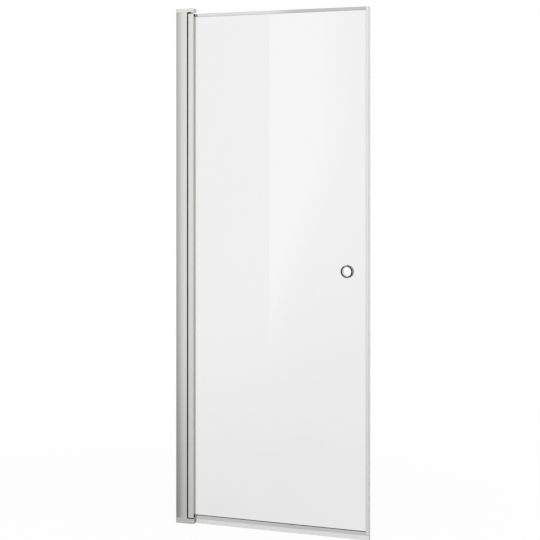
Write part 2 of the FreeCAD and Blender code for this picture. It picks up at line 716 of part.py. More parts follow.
def make_bottom_sweep():
    """Soft drip seal: a foot in the rail's slot, a front blade and a leaning back one."""
    half = pocket_half + RAIL_WALL + SWEEP_OVERHANG
    y0, y1 = glass_middle - half, glass_middle + half
    crown_z1 = rail_z0 - SWEEP_CROWN_PLAY
    crown_z0 = crown_z1 - SWEEP_CROWN
    neck_half = RAIL_MOUTH / 2 - SWEEP_FIT
    foot_half = pocket_half - SWEEP_FIT
    foot_z0 = rail_z0 + RAIL_LIP + SWEEP_FIT
    foot_z1 = rail_web_z0 - SWEEP_FIT
    parts = [
        rectangle(lengthwise, glass_middle - neck_half, glass_middle + neck_half, crown_z0, foot_z1),
        rectangle(lengthwise, y0, y1, crown_z0, crown_z1),
        polygon(lengthwise, [
            (y0, crown_z1),
            (y0, SWEEP_FLOOR_GAP),
            (y0 + SWEEP_BLADE / 2, SWEEP_FLOOR_GAP),
            (y0 + SWEEP_BLADE, crown_z0),
            (y0 + SWEEP_BLADE, crown_z1),
        ]),
        polygon(lengthwise, [
            (y1, crown_z1),
            (y1 - SWEEP_BLADE, crown_z1),
            (y1 - SWEEP_BLADE, crown_z0),
            (y1 - SWEEP_BLADE - SWEEP_FLARE, SWEEP_FLOOR_GAP),
            (y1 - SWEEP_BLADE / 2 - SWEEP_FLARE, SWEEP_FLOOR_GAP),
            (y1, crown_z0),
        ]),
    ]
    foot = rectangle(lengthwise, glass_middle - foot_half, glass_middle + foot_half, foot_z0, foot_z1)
    section = foot.fuse(parts)
    sweep = run_along(section, stile_x1 + SWEEP_SETBACK, leaf_x1 - SWEEP_END_PLAY)
    past_rail = Part.makeBox(leaf_x1, PROFILE_DEPTH, RAIL_HEIGHT,
                             V(closing_x0, closing_y0, rail_z0 - SWEEP_CROWN_PLAY))
    return sweep.cut(past_rail)


# ------------------------------------------------------------ closing edge

def make_closing_profile():
    """Extrusion on the glass's free edge: glass slot, two side chambers, magnet slot."""
    middle = glass_middle
    outer = rectangle(upright, closing_x0, closing_x1, closing_y0, closing_y1, CLOSING_CORNER)
    pocket = rectangle(upright, closing_x0 - CUT, closing_x0 + CLOSING_POCKET,
                       middle - pocket_half, middle + pocket_half)
    slot_x0 = closing_x1 - CLOSING_WALL - CLOSING_SLOT_DEPTH
    slot = rectangle(upright, slot_x0, closing_x1 - CLOSING_WALL,
                     middle - CLOSING_SLOT_WIDTH / 2, middle + CLOSING_SLOT_WIDTH / 2)
    mouth = rectangle(upright, slot_x0, closing_x1 + CUT,
                      middle - CLOSING_SLOT_MOUTH / 2, middle + CLOSING_SLOT_MOUTH / 2)
    cuts = [pocket, slot, mouth]
    for side in (-1, 1):
        near = middle + side * (pocket_half + CLOSING_WALL)
        far = middle + side * (CLOSING_DEPTH / 2 - CLOSING_WALL)
        cuts.append(rectangle(upright, closing_x0 + CLOSING_WALL, closing_x1 - CLOSING_WALL,
                              min(near, far), max(near, far)))
    section = outer.cut(cuts)
    return run_up(section, closing_z0 + END_CAP, trim_z1 - END_CAP)


def make_closing_gasket():
    """Bedding that grips the glass in the closing profile."""
    liner = rectangle(upright, closing_x0 + GASKET, closing_x0 + CLOSING_POCKET,
                      glass_middle - pocket_half, glass_middle + pocket_half)
    glass = rectangle(upright, closing_x0 - CUT, glass_x1, glass_front, glass_back)
    return run_up(liner.cut(glass), closing_z0 + END_CAP, trim_z1 - END_CAP)


def make_closing_end_caps():
    """Thin caps that close both ends of the closing profile."""
    plan = rectangle(upright, closing_x0, closing_x1, closing_y0, closing_y1, CLOSING_CORNER)
    return Part.makeCompound([
        run_up(plan, closing_z0, closing_z0 + END_CAP),
        run_up(plan, trim_z1 - END_CAP, trim_z1),
    ])


def make_magnet_sleeve():
    """Soft sleeve on the closing edge, with a foot in the profile's slot."""
    half = MAGNET_SLEEVE_DEPTH / 2
    outer = rectangle(upright, closing_x1, leaf_x1, glass_middle - half, glass_middle + half,
                      MAGNET_SLEEVE_CORNER)
    inner = rectangle(upright, closing_x1 + MAGNET_SLEEVE_WALL, leaf_x1 - MAGNET_SLEEVE_WALL,
                      glass_middle - half + 2 * MAGNET_SLEEVE_WALL,
                      glass_middle + half - 2 * MAGNET_SLEEVE_WALL)
    foot_x1 = closing_x1 - CLOSING_WALL - MAGNET_FOOT_FIT
    foot_x0 = closing_x1 - CLOSING_WALL - CLOSING_SLOT_DEPTH + MAGNET_FOOT_FIT
    foot_half = CLOSING_SLOT_WIDTH / 2 - MAGNET_FOOT_FIT
    neck_half = CLOSING_SLOT_MOUTH / 2 - MAGNET_FOOT_FIT
    foot = rectangle(upright, foot_x0, foot_x1, glass_middle - foot_half, glass_middle + foot_half)
    neck = rectangle(upright, foot_x0, closing_x1 + MAGNET_SLEEVE_WALL / 2,
                     glass_middle - neck_half, glass_middle + neck_half)
    section = outer.cut(inner).fuse([neck, foot])
    return run_up(section, closing_z0 + END_CAP, trim_z1 - END_CAP)


def make_magnet_bar():
    """Flexible magnet inside the sleeve."""
    half = MAGNET_SLEEVE_DEPTH / 2 - 2 * MAGNET_SLEEVE_WALL - MAGNET_PLAY
    section = rectangle(upright, closing_x1 + MAGNET_SLEEVE_WALL + MAGNET_PLAY,
                        leaf_x1 - MAGNET_SLEEVE_WALL - MAGNET_PLAY,
                        glass_middle - half, glass_middle + half)
    return run_up(section, closing_z0 + END_CAP, trim_z1 - END_CAP)


# ------------------------------------------------------------ ring handle

def ring_body(outline, side):
    """Turn an outline about the handle's axis. Its points are (radius, stand), where
    stand is measured out from the glass on one side: -1 the front, 1 the back."""
    surface = glass_front if side < 0 else glass_back
    corners = [V(handle_x + radius, surface + side * stand, HANDLE_HEIGHT) for radius, stand in outline]
    face = Part.Face(Part.makePolygon(corners + corners[:1]))
    return face.revolve(V(handle_x, 0, HANDLE_HEIGHT), Y_AXIS, 360)


def ring_outline(inner, inner_foot, outer, foot_step):
    """Half section of a ring: a flat foot on its washer, and edges that slope in two steps.
    inner_foot and foot_step make the counterbore that takes the sleeve."""
    near, far = RING_WASHER, RING_STAND
    out_step = RING_OUTER_EDGE * (1 - math.sqrt(0.5))
    in_step = RING_INNER_EDGE * (1 - math.sqrt(0.5))
    return [
        (inner_foot, near),
        (outer, near),
        (outer, far - RING_OUTER_EDGE),
        (outer - out_step, far - out_step),
        (outer - RING_OUTER_EDGE, far),
        (inner + RING_INNER_EDGE, far),
        (inner + in_step, far - in_step),
        (inner, far - RING_INNER_EDGE),
        (inner, foot_step),
        (inner_foot, foot_step),
    ]


def make_handle_ring_front():
    """Outer ring with the threaded sleeve that passes through the glass."""
    reach = -(GLASS_THICKNESS + RING_WASHER + SLEEVE_GRIP)
    outline = ring_outline(RING_BORE / 2, sleeve_radius, RING_DIAMETER / 2, reach)
    return ring_body(outline, -1)


def make_handle_ring_back():
    """Inner ring, counterbored to screw onto the front ring's sleeve."""
    step = RING_WASHER + SLEEVE_GRIP + SLEEVE_FIT
    outline = ring_outline(RING_BORE / 2, sleeve_radius + SLEEVE_FIT, RING_DIAMETER / 2, step)
    return ring_body(outline, 1)


def make_handle_bush():
    """Plastic bush that keeps the metal sleeve off the glass."""
    start = V(handle_x, glass_front, HANDLE_HEIGHT)
    outer = rod(start, Y_AXIS, GLASS_HOLE - 2 * GLASS_HOLE_PLAY, GLASS_THICKNESS)
    return outer.cut(rod(start, Y_AXIS, 2 * (sleeve_radius + SLEEVE_FIT), GLASS_THICKNESS))


def make_handle_washers():
    """Clear washers between each ring and the glass."""
    washers = []
    for start_y in (glass_front - RING_WASHER, glass_back):
        start = V(handle_x, start_y, HANDLE_HEIGHT)
        outer = rod(start, Y_AXIS, RING_DIAMETER - RING_WASHER, RING_WASHER)
        washers.append(outer.cut(rod(start, Y_AXIS, 2 * (sleeve_radius + SLEEVE_FIT), RING_WASHER)))
    return Part.makeCompound(washers)


# ------------------------------------------------------------ nodes

NODES = {
    "wall_channel": make_wall_channel(),
    "post_profile": make_post_profile(),
    "post_seal": make_post_seal(),
    "post_clamp_screws": make_post_clamp_screws(),
    "screw_caps": make_screw_caps(),
    "top_bracket": at_top(make_bracket(TOP_BRACKET_HEIGHT)),
    "bottom_bracket": at_bottom(make_bracket(BOTTOM_BRACKET_HEIGHT)),
    "top_bracket_screws": at_top(make_bracket_screws(TOP_BRACKET_HEIGHT)),
    "bottom_bracket_screws": at_bottom(make_bracket_screws(BOTTOM_BRACKET_HEIGHT)),
    "top_pivot_pin": at_top(make_pivot_pin(TOP_PIVOT_GAP)),
    "bottom_pivot_pin": at_bottom(make_pivot_pin(BOTTOM_PIVOT_GAP)),
    "pin_set_screws": Part.makeCompound([at_top(make_set_screw()), at_bottom(make_set_screw())]),
    "thrust_washer": make_thrust_washer(),
    "stile_profile": make_stile_profile(),
    "top_bush_plug": at_top(make_bush_plug(), stile_z1),
    "bottom_bush_plug": at_bottom(make_bush_plug(), stile_z0),
    "stile_gasket": make_stile_gasket(),
    "glass_panel": make_glass_panel(),
    "top_trim": make_top_trim(),
    "top_trim_gasket": make_top_trim_gasket(),
    "bottom_rail": make_bottom_rail(),
    "rail_gasket": make_rail_gasket(),
    "bottom_sweep": make_bottom_sweep(),
    "closing_profile": make_closing_profile(),
    "closing_gasket": make_closing_gasket(),
    "closing_end_caps": make_closing_end_caps(),
    "magnet_sleeve": make_magnet_sleeve(),
    "magnet_bar": make_magnet_bar(),
    "handle_ring_front": make_handle_ring_front(),
    "handle_ring_back": make_handle_ring_back(),
    "handle_bush": make_handle_bush(),
    "handle_washers": make_handle_washers(),
}

for name, shape in NODES.items():
    if not shape.isValid():
        print("not valid:", name)
    print(f"{name}: {len(shape.Solids)} solids, {shape.Volume / 1000:.1f} cm3")
    shape.exportStep(f"parts/{name}.step")
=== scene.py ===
# %% [markdown]
# # A pivot shower door
# This lesson dresses a finished model of a shower door: a hinge post for the wall, a glass leaf that
# turns on two pins, a ring pull and a magnetic closing edge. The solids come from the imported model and
# keep their exact sizes, so Blender's work here is light and finish. A door like this is nearly all
# glass and satin aluminium, and both show only what stands around them. So the room is built first.

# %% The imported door
import json
from math import cos, pi, radians, sin

import bmesh
import bpy
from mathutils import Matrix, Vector


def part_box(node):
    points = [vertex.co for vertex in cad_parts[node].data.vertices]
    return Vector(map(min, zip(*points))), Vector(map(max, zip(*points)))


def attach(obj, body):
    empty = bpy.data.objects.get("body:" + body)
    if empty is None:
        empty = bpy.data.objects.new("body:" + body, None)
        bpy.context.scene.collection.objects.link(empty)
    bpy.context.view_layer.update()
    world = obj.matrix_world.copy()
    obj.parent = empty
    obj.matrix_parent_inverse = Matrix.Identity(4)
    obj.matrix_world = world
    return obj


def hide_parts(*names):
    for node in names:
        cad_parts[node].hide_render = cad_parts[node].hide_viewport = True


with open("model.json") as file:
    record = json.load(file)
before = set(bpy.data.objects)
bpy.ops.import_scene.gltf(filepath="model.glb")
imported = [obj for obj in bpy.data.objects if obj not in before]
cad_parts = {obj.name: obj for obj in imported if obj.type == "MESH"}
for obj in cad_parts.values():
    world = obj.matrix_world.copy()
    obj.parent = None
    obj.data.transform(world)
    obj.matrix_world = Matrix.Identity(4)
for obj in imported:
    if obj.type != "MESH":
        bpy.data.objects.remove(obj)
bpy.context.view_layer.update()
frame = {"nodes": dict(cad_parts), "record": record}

nodes = frame["nodes"]
slot_of = {piece["node"]: piece["material_slot"] for piece in frame["record"]["subparts"]}

# %% [markdown]
# ## The camera
# The uprights of the door stay parallel in the picture, which means the camera was level and its
# picture was shifted down instead of the lens being tilted. A tilted camera could show the same piece
# of the room, but its uprights would lean together. The camera stands in front and toward the closing
# edge, so it sees the front of each profile and the side that faces the closing edge.

# %% Level camera
VIEW_AZIMUTH = radians(21.7385)
EYE = (2.3775, -4.9885, 1.3853)
LENS = 94.11
SHIFT_DOWN = -0.19087

camera_data = bpy.data.cameras.new("camera")
camera_data.lens = LENS
camera_data.shift_y = SHIFT_DOWN
camera = bpy.data.objects.new("camera", camera_data)
camera.location = EYE
camera.rotation_euler = (pi / 2, 0, VIEW_AZIMUTH)
bpy.context.scene.collection.objects.link(camera)
bpy.context.scene.camera = camera
bpy.context.scene.view_settings.view_transform = "Standard"
print("camera at", EYE, "with a lens of", LENS, "mm")

# %% [markdown]
# ## Shader maths
# Finishes are easier to read as sums than as a web of nodes. `Signal` stands for a node's output, and
# its operators add the Math nodes, so `1 - haze * 0.3` is written as it is read. `Finish` holds one
# material, or the room's own shader, and its `node` method adds any other node: the settings go in
# first, and then the numbers or signals of its sockets.

# %% Signal and Finish
# A Mix node's color sockets share their names with others, so they go by number.
MIX_FIRST = 6
MIX_SECOND = 7
MIX_COLOR = 2


class Signal:
    """A node's output. Plus, minus and times join it to other outputs or to numbers."""

    def __init__(self, finish, socket):
        self.finish = finish
        self.socket = socket

    def sum(self, operation, first, second):
        """The result of one Math node."""
        return self.finish.node("ShaderNodeMath", {"operation": operation}, {0: first, 1: second})

    def __add__(self, other):
        return self.sum("ADD", self, other)

    def __radd__(self, other):
        return self.sum("ADD", other, self)

    def __sub__(self, other):
        return self.sum("SUBTRACT", self, other)

    def __rsub__(self, other):
        return self.sum("SUBTRACT", other, self)

    def __mul__(self, other):
        return self.sum("MULTIPLY", self, other)

    def __rmul__(self, other):
        return self.sum("MULTIPLY", other, self)

    def out(self, name):
        """Another output of the same node."""
        return Signal(self.finish, self.socket.node.outputs[name])


class Finish:
    """One node tree, with a method that adds nodes to it."""

    def __init__(self, tree):
        self.tree = tree
        self.tree.nodes.clear()

    def node(self, kind, settings=None, sockets=None, out=0):
        """Adds a node, feeds its sockets with numbers or signals, and gives one output."""
        made = self.tree.nodes.new(kind)
        for name, value in (settings or {}).items():
            setattr(made, name, value)
        for name, value in (sockets or {}).items():
            if isinstance(value, Signal):
                self.tree.links.new(value.socket, made.inputs[name])
            else:
                made.inputs[name].default_value = value
        return Signal(self, made.outputs[out])

    def place(self, along=(1, 1, 1)):
        """A point on the object in metres, with each direction stretched by a number."""
        here = self.node("ShaderNodeTexCoord").out("Object")
        return self.node("ShaderNodeVectorMath", {"operation": "MULTIPLY"}, {0: here, 1: along})

    def spot(self):
        """The outputs X, Y and Z of a point on the object, in metres."""
        return self.node("ShaderNodeSeparateXYZ", {}, {0: self.place()})

    def noise(self, along, detail=2.0):
        """Cloudy noise from 0 to 1, with so many clouds per metre in each direction."""
        sockets = {"Vector": self.place(along), "Scale": 1.0, "Detail": detail}
        return self.node("ShaderNodeTexNoise", {}, sockets)

    def ramp(self, value, low, high, start=0.0, end=1.0):
        """Goes smoothly from start to end while value goes from low to high."""
        span = {"Value": value, "From Min": low, "From Max": high, "To Min": start, "To Max": end}
        return self.node("ShaderNodeMapRange", {"interpolation_type": "SMOOTHSTEP"}, span)

    def blend(self, share, first, second):
        """One color, mixed from two by share."""
        sockets = {0: share, MIX_FIRST: first, MIX_SECOND: second}
        return self.node("ShaderNodeMix", {"data_type": "RGBA"}, sockets, out=MIX_COLOR)

    def dim(self, color, tone):
        """The color times a tone, which may change over the surface."""
        return self.node("ShaderNodeVectorMath", {"operation": "SCALE"}, {0: color, "Scale": tone})

    def bump(self, height, depth):
        """A relief that rises by depth, in metres, while height goes from 0 to 1."""
        return self.node("ShaderNodeBump", {}, {"Height": height, "Distance": depth, "Strength": 1.0})

    def surface(self, shader, target="ShaderNodeOutputMaterial"):
        """Ends the tree with the shader."""
        end = self.tree.nodes.new(target)
        self.tree.links.new(shader.socket, end.inputs["Surface"])


def new_finish(name):
    """A new material, and the Finish that fills it."""
    material = bpy.data.materials.new(name)
    material.use_nodes = True
    return material, Finish(material.node_tree)


def grey(level):
    """A neutral color."""
    return (level, level, level, 1.0)


# %% [markdown]
# ## The white room
# A studio picture on white needs two things at once: white behind the object, and grey tones on the
# metal. So what the camera sees, straight or through the glass, is pure white, while reflections see
# a room that is bright before the door and greyer elsewhere. The grey at the far left shades the
# post's bowed face from dark to light, and the grey toward the ground, deepest on the left, makes every
# profile darker from its top to its foot. A real studio also has black cards that give polished metal
# its outline. Here only the rays off a perfect mirror meet them: they find one bright opening straight
# before the door and dark all around it. All this could be built from walls and cards, but one shader
# does it without shadows of its own.

# %% Room light
ROOM_LEVEL = 0.55
MIRROR_BRIGHT = 1.22
MIRROR_BEHIND = 0.62
BEHIND_FROM = -0.25
BEHIND_TO = 0.35
FAR_LEFT_SHARE = 0.05
FAR_LEFT = -0.90
NEAR_LEFT = -0.30
GROUND_SHARE_LEFT = 0.0
GROUND_SHARE_RIGHT = 0.76
GROUND_SHARE_BEHIND = 0.80
GROUND_LEFT = -0.74
GROUND_RIGHT = -0.22
GROUND_FROM = -0.29
GROUND_TO = -0.05
STEEP_SHARE = 0.45
STEEP_FROM = 0.40
STEEP_TO = 0.75
CARD_LEVEL = 0.015
CARD_BEHIND = 0.70
CARD_END_FROM = 0.25
CARD_END_TO = 0.65
OPENING_LEFT = -0.44
OPENING_RIGHT = -0.28
OPENING_EDGE = 0.03
OPENING_BOTTOM = -0.27
OPENING_TOP = 0.11

world = bpy.data.worlds.new("white room")
world.use_nodes = True
bpy.context.scene.world = world
room = Finish(world.node_tree)


def seen_white(finish):
    """1 where the camera looks at this, straight or through the glass, and the kinds of ray."""
    ray = finish.node("ShaderNodeLightPath")
    looks = ray.out("Is Camera Ray") + ray.out("Is Transmission Ray")
    bounced = ray.out("Glossy Depth") + ray.out("Diffuse Depth")
    seen = finish.node("ShaderNodeClamp", {}, {"Value": looks - bounced})
    return seen, ray


toward = room.node("ShaderNodeTexCoord").out("Generated")
direction = room.node("ShaderNodeSeparateXYZ", {}, {0: toward})
height = direction.out("Z")
left_before = room.ramp(direction.out("X"), FAR_LEFT, NEAR_LEFT, FAR_LEFT_SHARE, 1.0)
left_share = room.ramp(direction.out("Y"), BEHIND_FROM, BEHIND_TO, left_before, 1.0)
depth_level = room.ramp(direction.out("Y"), BEHIND_FROM, BEHIND_TO, MIRROR_BRIGHT, MIRROR_BEHIND)
ground_before = room.ramp(
    direction.out("X"), GROUND_LEFT, GROUND_RIGHT, GROUND_SHARE_LEFT, GROUND_SHARE_RIGHT)
ground_deepest = room.ramp(direction.out("Y"), BEHIND_FROM, BEHIND_TO, ground_before, GROUND_SHARE_BEHIND)
ground_share = room.ramp(height, GROUND_FROM, GROUND_TO, ground_deepest, 1.0)
steepness = room.node("ShaderNodeMath", {"operation": "ABSOLUTE"}, {0: height})
steep_share = room.ramp(steepness, STEEP_FROM, STEEP_TO, 1.0, STEEP_SHARE)
satin_level_seen = depth_level * left_share * ground_share * steep_share
opening = (
    room.ramp(direction.out("X"), OPENING_LEFT - OPENING_EDGE, OPENING_LEFT)
    * room.ramp(direction.out("X"), OPENING_RIGHT, OPENING_RIGHT + OPENING_EDGE, 1.0, 0.0)
    * room.ramp(height, OPENING_BOTTOM - OPENING_EDGE, OPENING_BOTTOM)
    * room.ramp(height, OPENING_TOP, OPENING_TOP + OPENING_EDGE, 1.0, 0.0)
    * room.ramp(direction.out("Y"), BEHIND_FROM, BEHIND_TO, 1.0, 0.0)
)
cards = room.ramp(direction.out("Y"), CARD_END_FROM, CARD_END_TO, CARD_LEVEL, CARD_BEHIND)
sharp_level_seen = cards + opening * (satin_level_seen - cards)
white, room_ray = seen_white(room)
off_a_mirror = room_ray.out("Is Singular Ray") * (1 - room_ray.out("Is Transmission Ray"))
mirrored = satin_level_seen + off_a_mirror * (sharp_level_seen - satin_level_seen)
glossy = room_ray.out("Is Glossy Ray")
level = white + (1 - white) * (glossy * mirrored + (1 - glossy) * ROOM_LEVEL)
backing = room.node("ShaderNodeBackground", {}, {"Color": grey(1.0), "Strength": level})
room.surface(backing, "ShaderNodeOutputWorld")
print("room level", ROOM_LEVEL, "and reflections", MIRROR_BRIGHT, "in front,", MIRROR_BEHIND, "behind")

# %% [markdown]
# ## The floor
# The floor is a pale sheet that the door stands on. Most of what the camera sees of it is plain white,
# so that it runs into the background, and a small share is its lit surface, which keeps the door's
# shadow. The sheet could end at an edge, but an edge shows as a line, so it fades out around the door
# and leaves the room's own white. Reflections go past it to the room, which is already shaded toward
# the ground, and so do those that pass through the glass on their way.

# %% Floor sheet
FLOOR_SIZE = 7.0
FLOOR_DROP = 0.0003
FLOOR_COLOR = 0.88
FLOOR_DRIFT = 0.01
FLOOR_GRAINS = 40.0
FLOOR_WHITE_SHARE = 0.95
FLOOR_FADE_FROM = 1.0
FLOOR_FADE_TO = 2.6

floor_mesh = bpy.data.meshes.new("floor_sheet")
sheet = bmesh.new()
bmesh.ops.create_grid(sheet, x_segments=2, y_segments=2, size=FLOOR_SIZE / 2)
sheet.to_mesh(floor_mesh)
sheet.free()
floor = bpy.data.objects.new("floor_sheet", floor_mesh)
floor.location = (0, 0, -FLOOR_DROP)
floor.visible_glossy = False
bpy.context.scene.collection.objects.link(floor)

floor_material, floor_finish = new_finish("pale floor")
grain = floor_finish.noise((FLOOR_GRAINS,) * 3)
tone = floor_finish.blend(grain, grey(FLOOR_COLOR - FLOOR_DRIFT), grey(FLOOR_COLOR + FLOOR_DRIFT))
lit = floor_finish.node("ShaderNodeBsdfDiffuse", {}, {"Color": tone})
plain_white = floor_finish.node("ShaderNodeEmission", {}, {"Color": grey(1.0), "Strength": 1.0})
floor_white, floor_ray = seen_white(floor_finish)
sheet_shader = floor_finish.node(
    "ShaderNodeMixShader", {}, {0: floor_white * FLOOR_WHITE_SHARE, 1: lit, 2: plain_white})
from_door = floor_finish.node(
    "ShaderNodeVectorMath", {"operation": "LENGTH"}, {0: floor_finish.place()}, out="Value")
faded = floor_finish.ramp(from_door, FLOOR_FADE_FROM, FLOOR_FADE_TO)
reflected_through = floor_ray.out("Is Transmission Ray") * (1 - floor_white)
left_out = floor_finish.node("ShaderNodeClamp", {}, {"Value": faded + reflected_through})
open_room = floor_finish.node("ShaderNodeBsdfTransparent")
floor_finish.surface(floor_finish.node(
    "ShaderNodeMixShader", {}, {0: left_out, 1: sheet_shader, 2: open_room}))
floor.data.materials.append(floor_material)
print("floor of", FLOOR_SIZE, "m")

# %% [markdown]
# ## The lamps
# One large soft lamp hangs high in front, and a weaker one on the other side opens the side faces a
# little. Both light paint and plastic and cast the shadow on the floor. The metals take their tones
# from the room alone, because a lamp's square would show in the chrome as a white patch.

# %% Key lamp and fill lamp
KEY_POWER = 125.0
KEY_SIZE = 2.2
KEY_PLACE = (-0.3, -4.2, 4.9)
FILL_POWER = 28.0
FILL_SIZE = 2.0
FILL_PLACE = (3.6, -1.2, 2.2)
LAMP_TARGET = (0.4, 0.0, 1.1)


def area_lamp(name, place, size, power):
    """A square lamp aimed at the door. It gives light, but neither the camera nor a mirror sees it."""
    data = bpy.data.lights.new(name, "AREA")
    data.shape = "SQUARE"
    data.size = size
    data.energy = power
    lamp = bpy.data.objects.new(name, data)
    lamp.location = place
    aim = Vector(LAMP_TARGET) - Vector(place)
    lamp.rotation_euler = aim.to_track_quat("-Z", "Y").to_euler()
    lamp.visible_camera = False
    lamp.visible_glossy = False
    lamp.visible_transmission = False
    bpy.context.scene.collection.objects.link(lamp)


area_lamp("key_lamp", KEY_PLACE, KEY_SIZE, KEY_POWER)
area_lamp("fill_lamp", FILL_PLACE, FILL_SIZE, FILL_POWER)
print("lamps at", KEY_PLACE, "and", FILL_PLACE)

# %% [markdown]
# ## The light that the glass mirrors
# Clear glass is seen by what it reflects. The picture shows one pale upright band on the sheet, sharp
# on its left and fading to the right and downward: a tall light panel that stands in front of the
# door. Here it is a thin card that glows most along its left edge. Only rays that a perfect mirror
# has turned back find it, so it stays out of the satin metal, and who looks through the glass from
# behind doesn't see it.

# %% Light panel
PANEL_LEFT = -0.82
PANEL_WIDTH = 0.58
PANEL_RIGHT = PANEL_LEFT + PANEL_WIDTH
PANEL_Y = -3.0
PANEL_BOTTOM = 0.0
PANEL_TOP = 3.0
PANEL_FULL_HEIGHT = 1.5
PANEL_FADE = 0.5
PANEL_GLOW = 1.75

panel_mesh = bpy.data.meshes.new("light_panel")
card = bmesh.new()
corners = [
    card.verts.new((x, PANEL_Y, z))
    for x, z in (
        (PANEL_LEFT, PANEL_BOTTOM),
        (PANEL_LEFT, PANEL_TOP),
        (PANEL_RIGHT, PANEL_TOP),
        (PANEL_RIGHT, PANEL_BOTTOM),
    )
]
card.faces.new(corners)
card.to_mesh(panel_mesh)
card.free()
panel = bpy.data.objects.new("light_panel", panel_mesh)
panel.visible_camera = False
panel.visible_diffuse = False
panel.visible_shadow = False
bpy.context.scene.collection.objects.link(panel)

panel_material, glow = new_finish("panel glow")
card_spot = glow.spot()
across = (card_spot.out("X") - PANEL_LEFT) * (1 / PANEL_WIDTH)
upward = card_spot.out("Z") * (1 / PANEL_FULL_HEIGHT)
full_height = glow.node("ShaderNodeClamp", {}, {"Value": upward})
fading = glow.ramp(across - full_height, -PANEL_FADE, 0.0, 1.0, 0.0)
clear = glow.node("ShaderNodeBsdfTransparent")
lamp_cloth = glow.node("ShaderNodeEmission", {}, {"Color": grey(1.0), "Strength": PANEL_GLOW})
card_ray = glow.node("ShaderNodeLightPath")
turned_back = glow.node("ShaderNodeClamp", {}, {"Value": card_ray.out("Glossy Depth")})
mirror_ray = card_ray.out("Is Singular Ray") * turned_back
glow.surface(glow.node("ShaderNodeMixShader", {}, {0: fading * mirror_ray, 1: clear, 2: lamp_cloth}))
panel.data.materials.append(panel_material)
print("light panel", PANEL_WIDTH, "m wide")

# %% [markdown]
# ## Satin anodised aluminium
# The post, the stile and the trims are extruded, etched matt and anodised. The die leaves very fine
# lines along the length, and the etching turns the shine into a soft glow. A plain grey metal would
# look like paint, so the finish has three layers of detail: the die lines as a bump, a slow drift in
# roughness as the sheet of light shows on real profiles, and a faint haze of dried water. The lines
# must follow the length, so upright and level profiles get the same finish turned to their own run.
# Upright profiles also darken toward the floor, which is painted shade, and the level trims darken
# toward their closing half, which is painted shade as well.

# %% Anodised finish
WARM_SATIN = (0.760, 0.762, 0.726)
PLAIN_SATIN = (0.742, 0.744, 0.738)
HAZE_LIFT = 1.06
HAZE_CLOUDS = (7, 7, 3)
HAZE_FROM = 0.48
HAZE_TO = 0.78
HAZE_SHARE = 0.45
HAZE_ROUGHENS = 0.05
# Painted shade: the post, the rail and the top trim are darker copies of the same satin.
POST_PAINTED_SHADE_TONE = 0.885
RAIL_PAINTED_SHADE_TONE = 0.94
TOP_TRIM_PAINTED_SHADE_TONE = 0.96
SATIN_METALLIC = 0.93
SATIN_ROUGHNESS = 0.27
DIE_LINES = 1400.0
DIE_DRIFT = 2.5
DIE_DEPTH = 0.00002
DIE_RELIEF = 0.7
DIE_ROUGHENS = 0.05
BAND_LINES = DIE_LINES / 12
BAND_DRIFT = DIE_DRIFT / 2
BAND_RELIEF = 0.3
BAND_SHARE = 0.25
# Painted shade toward the floor: how high it reaches, and how far it dims each profile's foot.
FOOT_SHADE_HEIGHT = 0.80
POST_FOOT_SHADE_TONE = 0.80
STILE_FOOT_SHADE_TONE = 0.96
CLOSING_FOOT_SHADE_TONE = 0.97
# Painted shade along X on the level trims: where it starts, where it is full, and its tone.
TOP_TRIM_PAINTED_SHADE_X = (0.37, 0.51, 0.72)
RAIL_PAINTED_SHADE_X = (0.10, 0.60, 0.88)


def dimmed(color, tone):
    """The color, made darker or lighter by a number."""
    return [level * tone for level in color[:3]] + [1.0]


def painted_foot_shade(finish, color, foot_shade_tone):
    """The color with painted shade that deepens toward the floor, where it dims by the foot tone."""
    height = finish.spot().out("Z")
    return finish.dim(color, finish.ramp(height, 0.0, FOOT_SHADE_HEIGHT, foot_shade_tone, 1.0))


def drawn_out(run, across, along):
    """Clouds per metre in each direction: along counts them on the run, across on the other two."""
    return tuple(along if axis == run else across for axis in range(3))


def satin_aluminium(name, run, plain, foot_shade_tone=1.0, painted_shade_x=None):
    """Anodised profile whose die lines follow run, a number 0, 1 or 2 for X, Y or Z.

    Painted shade dims its foot by the foot tone. Painted shade along X, where given, holds the X
    where it starts, the X from which it is full, and the tone there.
    """
    material, finish = new_finish(name)
    lines = finish.noise(drawn_out(run, DIE_LINES, DIE_DRIFT), detail=3.0)
    bands = finish.noise(drawn_out(run, BAND_LINES, BAND_DRIFT))
    haze = finish.ramp(finish.noise(HAZE_CLOUDS, detail=5.0), HAZE_FROM, HAZE_TO)
    lift = haze * HAZE_SHARE + bands * BAND_SHARE
    color = finish.blend(lift, dimmed(plain, 1.0), dimmed(plain, HAZE_LIFT))
    # Painted shade toward the floor.
    if foot_shade_tone < 1.0:
        color = painted_foot_shade(finish, color, foot_shade_tone)
    # Painted shade along X, darker toward the closing half.
    if painted_shade_x:
        start, full, tone = painted_shade_x
        color = finish.dim(color, finish.ramp(finish.spot().out("X"), start, full, 1.0, tone))
    finish.surface(finish.node("ShaderNodeBsdfPrincipled", {}, {
        "Base Color": color,
        "Metallic": SATIN_METALLIC,
        "Roughness": SATIN_ROUGHNESS + lines * DIE_ROUGHENS + haze * HAZE_ROUGHENS,
        "Normal": finish.bump(lines * DIE_RELIEF + bands * BAND_RELIEF, DIE_DEPTH),
    }))
    return material


# The post, rail and top trim take darker copies of the satin, which is painted shade.
satin_stile = satin_aluminium("satin_silver_stile", 2, WARM_SATIN, STILE_FOOT_SHADE_TONE)
satin_post = satin_aluminium("satin_silver_post", 2, dimmed(WARM_SATIN, POST_PAINTED_SHADE_TONE), POST_FOOT_SHADE_TONE)
satin_closing = satin_aluminium("satin_silver_closing", 2, PLAIN_SATIN, CLOSING_FOOT_SHADE_TONE)
